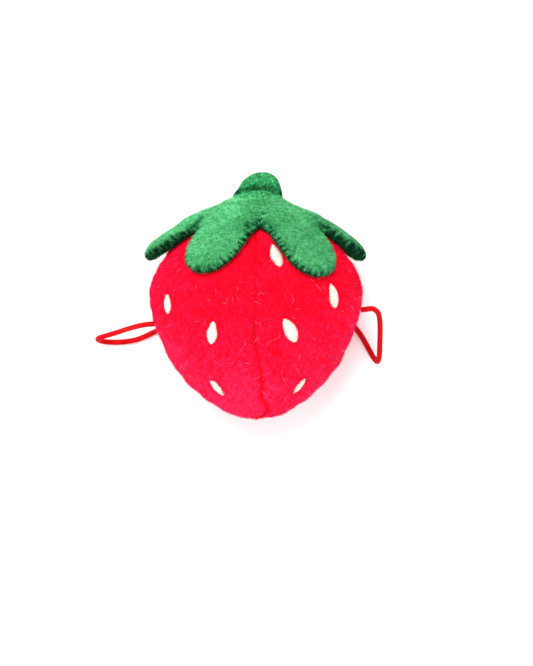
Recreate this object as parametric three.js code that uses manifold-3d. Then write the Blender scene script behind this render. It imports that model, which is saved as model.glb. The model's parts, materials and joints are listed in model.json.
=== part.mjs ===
// A strawberry pincushion worn on the wrist: four plush gores over a stuffed core, a six-leaved
// calyx with liftable leaves, a stuffed stem, embroidered seeds and a round elastic strap.
// Millimetres. +Z is up out of the berry's front, +Y points to the stem, and it lies on its back at z = 0.
import * as THREE from "three";
import { mergeVertices } from "three/addons/utils/BufferGeometryUtils.js";
import Module from "manifold-3d";

const wasm = await Module();
wasm.setup();

const V = (x, y, z) => new THREE.Vector3(x, y, z);
const rad = THREE.MathUtils.degToRad;
const mix = THREE.MathUtils.lerp;
const ramp = THREE.MathUtils.smoothstep;

// --- Driving dimensions -------------------------------------------------------------------------

const GAP = 0.3; // clearance between pieces that touch
const AXIS_HEIGHT = 23; // height of the stem-to-tip axis above the table
const DEPTH_RATIO = 0.76; // the berry is this much thinner front to back than it is wide
const GORE_BULGE = 0.025; // how far the middle of each gore fills out between its seams
const PLUSH = 2; // thickness of the red plush
const SEAM_DEPTH = 0.9; // how far each seam is pulled in below the plush
const SEAM_FADE = 8; // nearer the axis than this the seams grow shallower
const SEAM_SPREAD = 4.5; // distance over which the plush rises back out of a seam
const SEAM_HALF_GAP = 0.22; // half the gap between two gores
const POLE_RADIUS = 1.4; // the gores end this far from the axis
const SETTLE_BLEND = 1.5; // roundness of the edge of the flattened back
const SHOULDER_BLEND = 4.5; // the same for the shoulder that rests on the back leaves

// Outline of the berry seen from the front, from the stem end to the tip: radius and height.
const OUTLINE = [
  [0, 27.8], [9, 27], [17, 24.4], [23.7, 20.3], [29.6, 15], [33.6, 9], [35.7, 2.5],
  [35.3, -5], [33.1, -13], [29.3, -21], [24, -28.5], [17, -35.2], [8.5, -40.2], [0, -41.9],
];

const DISC_RADIUS = 10;
const DISC_THICKNESS = 1.2;
const DISC_MIDDLE = -8; // the guard disc lies behind the flat of the back, below the middle of the berry
const CORE_TOP = 22.9; // the stuffing is dished here for the knot that holds the calyx

const SEED_LENGTH = 8.2;
const SEED_WIDTH = 3.9;
const SEED_HEIGHT = 0.65;
const SEED_SINK = 1.1; // depth of the hollow for a seed that lies under a leaf or under the resting back
const SEED_POINT = 0.25; // how much narrower a seed is at its end toward the stem

const LEAF_COUNT = 6;
const LEAF_TURN = -26; // turn of the first leaf, degrees from the front, positive to the right
const LEAF_LAYER = 1.6; // one of the two plush layers of the calyx
const LAYER_GAP = 0.3;
const CROTCH_FRONT = 18.3; // distance from the berry's axis of a corner between two leaves, at the front or back
const CROTCH_SIDE = 22.5; // the same at the sides
const CALYX_SPREAD = 0.85; // how far the leaves gather toward the front and back of the flattened berry
const FOLD_GAP = 0.8; // clearance between the hub and a leaf at its fold
const LEAF_ROOT_HALF = 9.6; // half the width of a leaf near its fold
const LEAF_END_HALF = 7.8; // half the width it would have at its tip without the rounding
const LEAF_ROUND = 8; // length of the rounded end of a leaf
const LEAF_NECK = 0.3; // share by which a leaf is wider at its fold

// standOff lifts a leaf's tip off the berry. reach is the distance from the middle of the calyx to
// the tip, along the cloth: the back leaves are bunched up under the berry. sway swings the tip aside.
const LEAVES = [
  { name: "front_left", place: 0, standOff: 0.6, reach: 37.9, sway: -2.9 },
  { name: "front_right", place: 1, standOff: 0.6, reach: 40.2, sway: 1.5 },
  { name: "side_right", place: 2, standOff: 2.4, reach: 39.5, sway: 0 },
  { name: "back_right", place: 3, standOff: 0, reach: 35, sway: 0 },
  { name: "back_left", place: 4, standOff: 0, reach: 35, sway: 0 },
  { name: "side_left", place: 5, standOff: 2.4, reach: 39.5, sway: 0 },
];

const STEM_RADIUS = 7.3;
const STEM_HEIGHT = 9.7;
const STEM_LEAN = 2.2; // the top of the stem stands this far to the right of its foot
const STEM_FLARE = 0.3;
const STEM_CLOTH = 1.6;
const TIE_RADIUS = 0.5;

const ELASTIC_DIAMETER = 1.9;
const KNOT_RADIUS = 2.3;
const KNOT_DEPTH = 7; // the strap's knots lie this far inside the side seams
const THREAD_RADIUS = 0.25;

const LAYER_START = GAP + 0.15; // height of the calyx's underside above the berry
const LAST_LAYER = LAYER_START + 2 * LEAF_LAYER + LAYER_GAP; // height of the calyx's top above the berry

// --- Materials ----------------------------------------------------------------------------------

function cloth(color, roughness = 0.95) {
  return new THREE.MeshStandardMaterial({ color, roughness, metalness: 0 });
}
const RED = 0xe80d2e;
const DARK_RED = 0x9c0a1e;
const GREEN = 0x2f9d5a;
const DARK_GREEN = 0x1d6b3c;
const CREAM = 0xf6efe4;
const WHITE_FIBRE = 0xf4f1ea;
const PLASTIC = 0xe6e2d8;

// --- Solids -------------------------------------------------------------------------------------

const MERGE = 1e-5; // corners closer than this are one corner

const berry = new THREE.Group();
berry.name = "strawberry_pincushion";

// Turns a solid's faces outward and joins its shared corners.
function finish(positions, triangles) {
  const geometry = new THREE.BufferGeometry();
  const numbers = positions.flatMap((p) => [p.x, p.y, p.z]);
  geometry.setAttribute("position", new THREE.Float32BufferAttribute(numbers, 3));
  let volume = 0;
  for (const [a, b, c] of triangles) {
    volume += positions[a].dot(positions[b].clone().cross(positions[c]));
  }
  geometry.setIndex((volume < 0 ? triangles.map(([a, b, c]) => [a, c, b]) : triangles).flat());
  return mergeVertices(geometry, MERGE);
}

// A solid between two facing grids of points, closed round all four sides.
function plate(top, bottom) {
  const rows = top.length;
  const cols = top[0].length;
  const positions = [...top.flat(), ...bottom.flat()];
  const under = rows * cols;
  const at = (i, j) => i * cols + j;
  const triangles = [];
  const quad = (a, b, c, d) => triangles.push([a, b, c], [a, c, d]);
  for (let i = 0; i < rows - 1; i++) {
    for (let j = 0; j < cols - 1; j++) {
      quad(at(i, j), at(i + 1, j), at(i + 1, j + 1), at(i, j + 1));
      quad(under + at(i, j), under + at(i, j + 1), under + at(i + 1, j + 1), under + at(i + 1, j));
    }
  }
  const side = (a, b) => quad(b, a, under + a, under + b);
  for (let i = 0; i < rows - 1; i++) {
    side(at(i, 0), at(i + 1, 0));
    side(at(i + 1, cols - 1), at(i, cols - 1));
  }
  for (let j = 0; j < cols - 1; j++) {
    side(at(0, j + 1), at(0, j));
    side(at(rows - 1, j), at(rows - 1, j + 1));
  }
  return finish(positions, triangles);
}

// A solid skinned over a row of closed loops, with its ends capped, or joined into a ring.
function loft(loops, ring = false) {
  const count = loops[0].length;
  const positions = loops.flat();
  const triangles = [];
  const spans = ring ? loops.length : loops.length - 1;
  for (let i = 0; i < spans; i++) {
    const next = (i + 1) % loops.length;
    for (let j = 0; j < count; j++) {
      const k = (j + 1) % count;
      triangles.push([i * count + j, next * count + j, next * count + k]);
      triangles.push([i * count + j, next * count + k, i * count + k]);
    }
  }
  if (!ring) {
    for (const [loop, start, turn] of [[loops[0], 0, 1], [loops.at(-1), (loops.length - 1) * count, -1]]) {
      const centre = loop.reduce((sum, p) => sum.add(p), V(0, 0, 0)).divideScalar(count);
      positions.push(centre);
      for (let j = 0; j < count; j++) {
        const k = (j + 1) % count;
        const pair = turn > 0 ? [start + j, start + k] : [start + k, start + j];
        triangles.push([positions.length - 1, ...pair]);
      }
    }
  }
  return finish(positions, triangles);
}

// A round thread laid along points whose outward direction is known.
function thread(points, normals, radius, sides, ring = false) {
  const loops = points.map((p, i) => {
    const last = points.length - 1;
    const before = points[i === 0 ? (ring ? last : 0) : i - 1];
    const after = points[i === last ? (ring ? 0 : last) : i + 1];
    const along = after.clone().sub(before).normalize();
    const across = along.clone().cross(normals[i]).normalize();
    const out = across.clone().cross(along);
    return Array.from({ length: sides }, (_, s) => {
      const angle = (2 * Math.PI * s) / sides;
      const rim = p.clone().addScaledVector(across, radius * Math.cos(angle));
      return rim.addScaledVector(out, radius * Math.sin(angle));
    });
  });
  return loft(loops, ring);
}

function toSolid(geometry) {
  const clean = geometry.clone();
  clean.deleteAttribute("normal");
  clean.deleteAttribute("uv");
  const merged = mergeVertices(clean, MERGE);
  return new wasm.Manifold(
    new wasm.Mesh({
      numProp: 3,
      vertProperties: new Float32Array(merged.attributes.position.array),
      triVerts: new Uint32Array(merged.index.array),
    }),
  );
}

function subtract(geometry, cutters) {
  let solid = toSolid(geometry);
  for (const cutter of cutters) {
    solid = solid.subtract(toSolid(cutter));
  }
  const mesh = solid.getMesh();
  const result = new THREE.BufferGeometry();
  result.setAttribute("position", new THREE.Float32BufferAttribute(mesh.vertProperties, 3));
  result.setIndex(Array.from(mesh.triVerts));
  return result;
}

function add(name, geometry, material) {
  const shaded = geometry.clone();
  shaded.computeVertexNormals();
  const mesh = new THREE.Mesh(shaded, material);
  mesh.name = name;
  berry.add(mesh);
}

// --- The berry's surface ------------------------------------------------------------------------

const outline = new THREE.SplineCurve(OUTLINE.map(([r, y]) => new THREE.Vector2(r, y)));

// The back lies flat on the table, and its shoulder on the two leaves pressed under it.
function restingFloor(y) {
  return (LAST_LAYER + 0.15) * ramp(y, 2, 8);
}

function smoothMax(value, floor, blend) {
  const h = THREE.MathUtils.clamp(0.5 + (0.5 * (value - floor)) / blend, 0, 1);
  return mix(floor, value, h) + blend * h * (1 - h);
}

// u runs from the stem end (0) to the tip (1); azimuth 0 is the front and 90 degrees the right.
function surface(u, azimuth) {
  const p = outline.getPoint(THREE.MathUtils.clamp(u, 0, 1));
  const radius = Math.max(p.x, 1e-3) * (1 + GORE_BULGE * Math.sin(2 * azimuth) ** 2);
  const x = radius * Math.sin(azimuth);
  const z = AXIS_HEIGHT + DEPTH_RATIO * radius * Math.cos(azimuth);
  return V(x, p.y, smoothMax(z, restingFloor(p.y), mix(SETTLE_BLEND, SHOULDER_BLEND, ramp(p.y, 0, 10))));
}

function outward(u, azimuth) {
  const step = 0.004;
  const here = THREE.MathUtils.clamp(u, step, 1 - step);
  const down = surface(here + step, azimuth).sub(surface(here - step, azimuth));
  const round = surface(here, azimuth + step).sub(surface(here, azimuth - step));
  return down.cross(round).normalize();
}

function seamValley(u, azimuth) {
  const radius = outline.getPoint(u).x;
  const quarter = Math.PI / 2;
  const turn = Math.abs(azimuth / quarter - Math.round(azimuth / quarter)) * quarter;
  return SEAM_DEPTH * Math.min(1, radius / SEAM_FADE) * Math.max(0, 1 - (radius * turn) / SEAM_SPREAD) ** 2;
}

// A point of the plush, sunk below its outer face.
function plush(u, azimuth, sunk) {
  return surface(u, azimuth).addScaledVector(outward(u, azimuth), -sunk - seamValley(u, azimuth));
}

// A point of something laid over the berry.
function over(u, azimuth, height) {
  return surface(u, azimuth).addScaledVector(outward(u, azimuth), height);
}

// The value of u between low and high where an increasing measure reaches its target.
function solve(measure, target, low = 0, high = 1) {
  for (let n = 0; n < 40; n++) {
    const middle = (low + high) / 2;
    if (measure(middle) < target) {
      low = middle;
    } else {
      high = middle;
    }
  }
  return (low + high) / 2;
}

const WAIST = solve((u) => -outline.getPoint(u).y, -2.5);
const uAtRadius = (radius) => solve((u) => outline.getPoint(u).x, radius, 0, WAIST);
const uAtHeight = (y) => solve((u) => -outline.getPoint(u).y, -y);
const U_TOP = uAtRadius(POLE_RADIUS);
const U_TIP = solve((u) => -outline.getPoint(u).x, -POLE_RADIUS, WAIST, 1);

// --- Red plush gores ----------------------------------------------------------------------------

const GORE_ROWS = 18;
// Columns of a gore from seam to seam, close together at the seams and on the flattened back.
const GORE_STEPS = [0, 0.045, 0.085, 0.15, 0.22, 0.32, 0.5, 0.68, 0.78, 0.85, 0.915, 0.955, 1];
const rowAt = (i, rows) => mix(U_TOP, U_TIP, i / rows);

function goreGrid(start, sunk) {
  return Array.from({ length: GORE_ROWS + 1 }, (_, i) => {
    const u = rowAt(i, GORE_ROWS);
    const edge = SEAM_HALF_GAP / (DEPTH_RATIO * outline.getPoint(u).x);
    return GORE_STEPS.map((f) => plush(u, start + mix(edge, Math.PI / 2 - edge, f), sunk));
  });
}

const GORES = [
  { name: "front_right", start: 0 },
  { name: "back_right", start: 90 },
  { name: "back_left", start: 180 },
  { name: "front_left", start: 270 },
];

// --- Embroidered seeds --------------------------------------------------------------------------

// Height, azimuth from the front or back seam, lean and relative size of each seed on a gore.
const SEEDS_RIGHT = [
  { y: 13.6, turn: 12.8, lean: -8, size: 1.05 },
  { y: 0.3, turn: 45, lean: -14, size: 1 },
  { y: -11.3, turn: 19.7, lean: -32, size: 1.08 },
  { y: -30.1, turn: 38.9, lean: 10, size: 0.72 },
];
const SEEDS_LEFT = [
  { y: 15.5, turn: 29, lean: -8, size: 1 },
  { y: -2.6, turn: 54.6, lean: -4, size: 0.74 },
  { y: -12.1, turn: 25.4, lean: -16, size: 0.95 },
  { y: -30.8, turn: 35.5, lean: 14, size: 0.74 },
];

function seedAzimuth(gore, seed) {
  const sign = gore.endsWith("right") ? 1 : -1;
  return gore.startsWith("front") ? sign * rad(seed.turn) : Math.PI - sign * rad(seed.turn);
}

// One satin-stitched seed, pointed toward the stem, between two heights over the plush.
function seedBlock(gore, seed, low, high, grow) {
  const sign = gore === "front_right" || gore === "back_left" ? 1 : -1;
  const u = uAtHeight(seed.y);
  const azimuth = seedAzimuth(gore, seed);
  const lean = sign * rad(seed.lean);
  const rows = 5;
  const cols = 3;
  const speed = 1 / surface(u + 0.01, azimuth).distanceTo(surface(u, azimuth)) / 100;
  const twist = 1 / surface(u, azimuth + 0.01).distanceTo(surface(u, azimuth)) / 100;
  const grid = (height, crown) =>
    Array.from({ length: rows + 1 }, (_, i) => {
      const s = -Math.cos((Math.PI * i) / rows);
      const taper = s < 0 ? 1 + SEED_POINT * s : 1;
      const half = (SEED_WIDTH / 2) * seed.size * Math.max(0.12, Math.sqrt(1 - s * s)) * taper + grow;
      const along = s * ((SEED_LENGTH / 2) * seed.size + grow);
      return Array.from({ length: cols + 1 }, (_, j) => {
        const t = (2 * j) / cols - 1;
        const across = t * half;
        const down = along * Math.cos(lean) + across * Math.sin(lean);
        const aside = across * Math.cos(lean) - along * Math.sin(lean);
        const lift = height - crown * 0.35 * (t * t + s * s);
        return over(u + down * speed, azimuth + aside * twist, lift);
      });
    });
  return plate(grid(high, high - low), grid(low, 0));
}

const seedNodes = [];
const hollows = {};
for (const { name } of GORES) {
  hollows[name] = [];
  const pattern = name.endsWith("right") ? SEEDS_RIGHT : SEEDS_LEFT;
  pattern.forEach((seed, k) => {
    const pressed = seed.y > 10 || (name.startsWith("back") && seed.turn < 30);
    const low = pressed ? GAP - SEED_SINK : GAP;
    const high = pressed ? -0.1 : GAP + SEED_HEIGHT;
    if (pressed) {
      hollows[name].push(seedBlock(name, seed, -SEED_SINK, 2, GAP));
    }
    seedNodes.push({ name: `seed_${name}_${k + 1}`, geometry: seedBlock(name, seed, low, high, 0) });
  });
}

// --- Elastic strap ------------------------------------------------------------------------------

// The strap leaves the left side seam, loops out, passes under the tapered tip, loops out again
// on the right and goes back into the right side seam.
const ELASTIC_LEFT_Y = -9.4;
const ELASTIC_RIGHT_Y = -4.7;
const SEAM_STUB = 0.6; // the strap comes out of the plush this far before it runs free

function seamExit(side, y) {
  const u = uAtHeight(y);
  return surface(u, side * Math.PI / 2).setZ(AXIS_HEIGHT);
}

const leftExit = seamExit(-1, ELASTIC_LEFT_Y);
const rightExit = seamExit(1, ELASTIC_RIGHT_Y);

const ELASTIC_ROUTE = [
  [-34.3, -9.4, 23], [-36.8, -9.6, 22.7], [-39.5, -10.1, 21], [-42.2, -10.8, 17.6],
  [-44.8, -11.6, 13.8], [-47.5, -12.5, 10.8], [-50.5, -13.4, 9.3], [-53.2, -14.2, 8.2],
  [-54.6, -15, 5.3], [-53.4, -15.7, 2.3], [-50.6, -16.1, 1], [-46, -16, 1],
  [-41.7, -15.3, 1], [-38, -13.9, 1], [-34.4, -12.2, 1], [-30.4, -11.3, 1],
  [-26.8, -12, 1], [-23.8, -14.4, 1], [-20.4, -18.8, 1], [-15.5, -23, 1],
  [0, -27.2, 1], [15.5, -23, 1], [20.2, -18.2, 1], [23.6, -13.2, 1],
  [26.6, -10, 1], [30.2, -8.9, 1], [33.6, -10.6, 1], [36.4, -14, 1],
  [38.8, -18.2, 1.2], [40.8, -21.7, 2.6], [41.9, -22.6, 5.6], [42.3, -20.6, 8.4],
  [42.4, -17.2, 10.4], [42.4, -13.8, 12.9], [42.3, -10.6, 15.9], [42, -7.7, 18.8],
  [41.2, -5.4, 21.2], [39.4, -4.3, 22.6], [37.3, -4.5, 23], [35.4, -4.7, 23],
];
const elasticPoints = ELASTIC_ROUTE.map((p) => V(...p));
const elasticCurve = new THREE.CatmullRomCurve3(elasticPoints, false, "centripetal");

// The knotted end of the strap, from its knot in the stuffing to the outside of the seam.
function knottedEnd(exit, side) {
  const half = ELASTIC_DIAMETER / 2;
  const knotMiddle = exit.x - side * KNOT_DEPTH;
  const outer = exit.x + side * (SEAM_STUB - SEAM_DEPTH);
  const rings = [];
  for (let k = 0; k <= 5; k++) {
    const angle = mix(Math.PI * 0.94, Math.PI * 0.2, k / 5);
    const radius = Math.max(KNOT_RADIUS * Math.sin(angle), half);
    rings.push([knotMiddle + side * KNOT_RADIUS * Math.cos(angle), radius]);
  }
  rings.push([knotMiddle + side * KNOT_RADIUS * 1.05, half], [outer, half]);
  return loft(rings.map(([x, radius]) => circleAcross(x, exit.y, AXIS_HEIGHT, radius, 10)));
}

// A circle facing along X.
function circleAcross(x, y, z, radius, sides) {
  return Array.from({ length: sides }, (_, s) => {
    const angle = (2 * Math.PI * s) / sides;
    return V(x, y + radius * Math.cos(angle), z + radius * Math.sin(angle));
  });
}

// The space the end and its knot need in the plush and the stuffing.
function knotPocket(exit, side) {
  const knotMiddle = exit.x - side * KNOT_DEPTH;
  const channel = ELASTIC_DIAMETER / 2 + GAP;
  const radius = KNOT_RADIUS + GAP;
  const stations = [
    [knotMiddle - side * radius * 0.98, radius * 0.3],
    [knotMiddle - side * radius * 0.7, radius * 0.85],
    [knotMiddle, radius * 1.08],
    [knotMiddle + side * radius * 0.7, radius * 0.85],
    [knotMiddle + side * radius * 0.95, channel],
    [exit.x + side * 3, channel],
  ];
  return loft(stations.map(([x, r]) => circleAcross(x, exit.y, AXIS_HEIGHT, r, 10)));
}

const leftPocket = knotPocket(leftExit, -1);
const rightPocket = knotPocket(rightExit, 1);

// --- Assemble the berry -------------------------------------------------------------------------

for (const { name, start } of GORES) {
  const pocket = name.endsWith("right") ? rightPocket : leftPocket;
  const panel = plate(goreGrid(rad(start), 0), goreGrid(rad(start), PLUSH));
  add(`panel_${name}`, subtract(panel, [pocket, ...hollows[name]]), cloth(RED));
}

const discBottom = PLUSH + SEAM_DEPTH + 2 * GAP;
const discTop = discBottom + DISC_THICKNESS;
const coreLoops = Array.from({ length: GORE_ROWS + 1 }, (_, i) => {
  const u = rowAt(i, GORE_ROWS);
  const loop = [];
  for (let quarter = 0; quarter < 4; quarter++) {
    for (const f of GORE_STEPS.slice(0, -1)) {
      const p = plush(u, (quarter + f) * Math.PI / 2, PLUSH + GAP);
      loop.push(V(p.x, i === 0 ? CORE_TOP : p.y, Math.max(p.z, discTop + GAP)));
    }
  }
  return loop;
});
add("stuffing_core", subtract(loft(coreLoops), [leftPocket, rightPocket]), cloth(WHITE_FIBRE, 1));

const disc = new THREE.CylinderGeometry(DISC_RADIUS, DISC_RADIUS, DISC_THICKNESS, 32).rotateX(Math.PI / 2);
disc.deleteAttribute("uv");
disc.deleteAttribute("normal");
disc.translate(0, DISC_MIDDLE, (discBottom + discTop) / 2);
add("guard_disc", mergeVertices(disc, MERGE), cloth(PLASTIC, 0.6));

for (const { name, geometry } of seedNodes) {
  add(name, geometry, cloth(CREAM, 0.55));
}

function seamThread(name, azimuth, from, to) {
  const steps = Math.ceil((to - from) * 24);
  const points = [];
  const normals = [];
  for (let i = 0; i <= steps; i++) {
    const u = mix(from, to, i / steps);
    const sunk = SEAM_DEPTH * Math.min(1, outline.getPoint(u).x / SEAM_FADE) - THREAD_RADIUS - 0.4;
    points.push(over(u, azimuth, -sunk));
    normals.push(outward(u, azimuth));
  }
  add(name, thread(points, normals, THREAD_RADIUS, 6), cloth(DARK_RED, 0.6));
}

const SEAM_START = uAtRadius(7);
const SEAM_END = U_TIP - 0.02;
seamThread("seam_thread_front", 0, SEAM_START, SEAM_END);
seamThread("seam_thread_back", Math.PI, SEAM_START, SEAM_END);
for (const [name, turn, y] of [["left", 270, ELASTIC_LEFT_Y], ["right", 90, ELASTIC_RIGHT_Y]]) {
  const clear = ELASTIC_DIAMETER / 2 + GAP + 0.2;
  seamThread(`seam_thread_${name}_upper`, rad(turn), SEAM_START, uAtHeight(y + clear));
  seamThread(`seam_thread_${name}_lower`, rad(turn), uAtHeight(y - clear), SEAM_END);
}

const elastic = new THREE.Shape().absarc(0, 0, ELASTIC_DIAMETER / 2, 0, 2 * Math.PI);
const strap = new THREE.ExtrudeGeometry(elastic, {
  steps: 78, curveSegments: 4, bevelEnabled: false, extrudePath: elasticCurve,
});
strap.deleteAttribute("uv");
strap.deleteAttribute("normal");
add("wrist_elastic", mergeVertices(strap, 10 * MERGE), cloth(RED, 0.5));
add("elastic_end_left", knottedEnd(leftExit, -1), cloth(RED, 0.5));
add("elastic_end_right", knottedEnd(rightExit, 1), cloth(RED, 0.5));

// --- Calyx --------------------------------------------------------------------------------------

const UNDER = { low: LAYER_START, high: LAYER_START + LEAF_LAYER };
const UPPER = { low: LAST_LAYER - LEAF_LAYER, high: LAST_LAYER };
const SECTOR = Math.PI / LEAF_COUNT;

// The azimuth on the flattened berry of a turn round the flat calyx.
function gathered(turn) {
  const whole = 2 * Math.PI * Math.floor((turn + Math.PI) / (2 * Math.PI));
  return whole + Math.atan2(CALYX_SPREAD * Math.sin(turn), Math.cos(turn));
}

// The middle azimuth of a leaf, half the angle between its crotches, and the distance of its fold,
// which runs straight from one crotch to the other, from the axis at an azimuth.
function leafPlace(place) {
  const turn = rad(LEAF_TURN) + place * 2 * SECTOR;
  const from = gathered(turn - SECTOR);
  const to = gathered(turn + SECTOR);
  const [first, second] = [from, to].map((a) => mix(CROTCH_FRONT, CROTCH_SIDE, Math.sin(a) ** 2));
  const foldAt = (azimuth) =>
    (first * second * Math.sin(to - from)) /
    (first * Math.sin(azimuth - from) + second * Math.sin(to - azimuth));
  return { middle: (from + to) / 2, half: (to - from) / 2, foldAt };
}

const HUB_STEPS = 5;
const HUB_RINGS = 8;

// The hub is a six-cornered cap: its straight edges are the folds, and its corners the crotches.
function hubLayer({ low, high }) {
  const loops = [];
  for (let i = 0; i < HUB_STEPS * LEAF_COUNT; i++) {
    const { middle, half, foldAt } = leafPlace(Math.floor(i / HUB_STEPS));
    const away = ((2 * (i % HUB_STEPS)) / HUB_STEPS - 1) * half;
    const azimuth = middle + away;
    const edge = foldAt(azimuth) - FOLD_GAP / 2 / Math.cos(away);
    const radii = Array.from({ length: HUB_RINGS }, (_, k) => mix(POLE_RADIUS, edge, k / (HUB_RINGS - 1)));
    const bottom = radii.map((radius) => over(uAtRadius(radius), azimuth, low));
    const top = radii.map((radius) => over(uAtRadius(radius), azimuth, high)).reverse();
    loops.push([...bottom, ...top]);
  }
  return loft(loops, true);
}
add("calyx_hub_under", hubLayer(UNDER), cloth(DARK_GREEN));
add("calyx_hub_upper", hubLayer(UPPER), cloth(GREEN));

// Distances along the berry from the stem end at one azimuth, turned into u.
function alongMeridian(azimuth) {
  const samples = 90;
  const limit = 0.6;
  const lengths = [0];
  for (let i = 1; i <= samples; i++) {
    const here = surface((limit * i) / samples, azimuth);
    lengths.push(lengths[i - 1] + here.distanceTo(surface((limit * (i - 1)) / samples, azimuth)));
  }
  const lengthAt = (u) => {
    const place = (u / limit) * samples;
    const i = Math.min(samples - 1, Math.floor(place));
    return mix(lengths[i], lengths[i + 1], place - i);
  };
  return { lengthAt, uAt: (length) => solve(lengthAt, length, 0, limit) };
}

const LEAF_ROWS = 7;
const LEAF_ACROSS = [-1, -0.88, -0.55, 0, 0.55, 0.88, 1];

// One layer of one leaf. It starts at its fold, narrows past the crotches and ends in a round tip.
function leafLayer({ place, standOff, reach: tip, sway }, side) {
  const { middle: azimuth, half: sector, foldAt } = leafPlace(place);
  const { lengthAt, uAt } = alongMeridian(azimuth);
  const foldU = uAtRadius(foldAt(azimuth) + FOLD_GAP / 2);
  const fold = lengthAt(foldU);
  const middle = LAYER_START + LEAF_LAYER + LAYER_GAP / 2;
  const inner = [];
  const outer = [];
  for (let i = 0; i <= LEAF_ROWS; i++) {
    const out = Math.sin((0.5 * Math.PI * i * 0.985) / LEAF_ROWS);
    const length = mix(fold, tip, out);
    const u = uAt(length);
    const radius = outline.getPoint(u).x;
    const rounded = Math.max(0, (length - tip + LEAF_ROUND) / LEAF_ROUND);
    const neck = 1 + LEAF_NECK * Math.exp(-(length - fold) / 3);
    const share = (length - fold) / (tip - fold);
    const half = mix(LEAF_ROOT_HALF, LEAF_END_HALF, share) * neck * Math.sqrt(1 - rounded ** 2);
    const speed = surface(u, azimuth + 0.01).distanceTo(surface(u, azimuth)) / 0.01;
    const reach = Math.min(sector - FOLD_GAP / 2 / (DEPTH_RATIO * radius), half / speed);
    const lift = standOff * share ** 3;
    const swung = azimuth + (sway * share ** 1.5) / speed;
    const innerRow = [];
    const outerRow = [];
    for (const t of LEAF_ACROSS) {
      const foldHere = foldAt(azimuth + reach * t) + FOLD_GAP / 2 / Math.cos(reach * t);
      const straighten = (uAtRadius(foldHere) - foldU) * (1 - out) ** 2;
      const sideEdge = Math.sqrt(1 - 0.8 * Math.abs(t) ** 3 * Math.min(1, out * 4));
      const tipEdge = Math.sqrt(1 - 0.75 * rounded ** 4);
      const thin = sideEdge * tipEdge;
      const near = middle + lift + side * LAYER_GAP / 2;
      innerRow.push(over(u + straighten, swung + t * reach, near));
      outerRow.push(over(u + straighten, swung + t * reach, near + side * LEAF_LAYER * thin));
    }
    inner.push(innerRow);
    outer.push(outerRow);
  }
  return plate(outer, inner);
}

for (const leaf of LEAVES) {
  add(`leaf_${leaf.name}_under`, leafLayer(leaf, -1), cloth(DARK_GREEN));
  add(`leaf_${leaf.name}_upper`, leafLayer(leaf, 1), cloth(GREEN));
}

// --- Stem ---------------------------------------------------------------------------------------

const STEM_SIDES = 14;

// A loop of the stem, this far above the calyx that it stands on.
function stemLoop(radius, height) {
  return Array.from({ length: STEM_SIDES }, (_, s) => {
    const azimuth = (2 * Math.PI * s) / STEM_SIDES;
    const seat = over(uAtRadius(Math.max(radius, 0.2)), azimuth, LAST_LAYER + GAP + 0.1);
    const x = radius * Math.sin(azimuth) + (STEM_LEAN * height) / STEM_HEIGHT;
    const z = AXIS_HEIGHT + DEPTH_RATIO * radius * Math.cos(azimuth);
    return V(x, seat.y + height, z);
  });
}

// Stations down a rounded nub: radius and height.
function nub(radius, height, flare, from = 0) {
  return [1, 0.93, 0.8, 0.6, 0.35, 0.12, 0].map((f) => {
    const h = mix(from, height, f);
    return [radius * Math.sqrt(1 - 0.97 * (h / height) ** 2.4) + flare * Math.exp(-h / 0.9), h];
  });
}

const stemOuter = nub(STEM_RADIUS, STEM_HEIGHT, STEM_FLARE);
const stemInner = nub(STEM_RADIUS - STEM_CLOTH, STEM_HEIGHT - STEM_CLOTH, STEM_FLARE).reverse();
add("stem_cover", loft([...stemOuter, ...stemInner].map(([r, h]) => stemLoop(r, h))), cloth(GREEN));

const fill = nub(STEM_RADIUS - STEM_CLOTH - GAP, STEM_HEIGHT - STEM_CLOTH - GAP, 0, 2.1);
add("stem_stuffing", loft(fill.map(([r, h]) => stemLoop(r, h))), cloth(WHITE_FIBRE, 1));

const ringSteps = 24;
const ringRadius = STEM_RADIUS + STEM_FLARE + GAP + THREAD_RADIUS + 0.05;
const stitchRing = Array.from({ length: ringSteps }, (_, i) => {
  const azimuth = (2 * Math.PI * i) / ringSteps;
  const u = uAtRadius(ringRadius);
  return { point: over(u, azimuth, LAST_LAYER + GAP + THREAD_RADIUS), normal: outward(u, azimuth) };
});
const ringPoints = stitchRing.map(({ point }) => point);
const ringNormals = stitchRing.map(({ normal }) => normal);
add("stem_stitching", thread(ringPoints, ringNormals, THREAD_RADIUS, 6, true), cloth(DARK_GREEN));

// The thread that holds the calyx on: a knot inside the stem, a strand through the cloth and a knot below.
const hubTop = surface(0.001, 0).y + LAST_LAYER;
const clothBottom = surface(0.001, 0).y - PLUSH;
const tieStations = [
  [CORE_TOP + 0.6, 1.2], [CORE_TOP + 1, 2.1], [clothBottom - 0.9, 2.1], [clothBottom - 0.5, 1.2],
  [clothBottom - 0.4, TIE_RADIUS], [hubTop + 0.35, TIE_RADIUS], [hubTop + 0.45, 1.5],
  [hubTop + 0.8, 2.3], [hubTop + 1.3, 2.3], [hubTop + 1.7, 1.2],
];
const tieLoops = tieStations.map(([y, r]) =>
  Array.from({ length: 10 }, (_, s) => {
    const angle = (2 * Math.PI * s) / 10;
    return V(r * Math.cos(angle), y, AXIS_HEIGHT + r * Math.sin(angle));
  }),
);
add("calyx_tie_thread", loft(tieLoops), cloth(DARK_GREEN, 0.7));

export default berry;
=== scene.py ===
import json
import math

import bpy
import numpy as np
from mathutils import Matrix, Vector


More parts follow.
